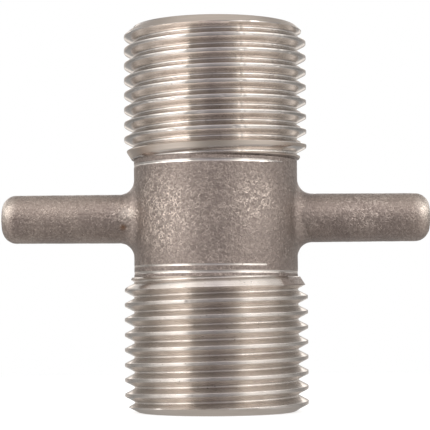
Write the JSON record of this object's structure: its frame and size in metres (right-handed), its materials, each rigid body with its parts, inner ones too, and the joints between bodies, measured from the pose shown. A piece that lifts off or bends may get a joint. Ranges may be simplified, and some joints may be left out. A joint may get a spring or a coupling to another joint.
{
  "type": "pipe nipple",
  "caption": "Straight pipe nipple with a parallel male thread on each end, a plain through bore and a round cast handle on each side of the barrel.",
  "frame": {"origin": "the fitting's centre, where the bore axis crosses the axis of the handle bars", "axes": "+Z along the bore, towards the upper thread end; +X along the handle bars, towards the right handle"},
  "size_m": [0.0386, 0.0164, 0.0346],
  "materials": {
    "cast_steel": "as-cast stainless steel, blasted: fine orange-peel texture, warm grey, satin",
    "machined_steel": "turned and threaded stainless steel, semi-bright with fine tool marks"
  },
  "bodies": {
    "root": {"cast_barrel": "cast_steel", "upper_thread_end": "machined_steel", "lower_thread_end": "machined_steel", "left_handle": "cast_steel", "right_handle": "cast_steel"}
  },
  "joints": []
}
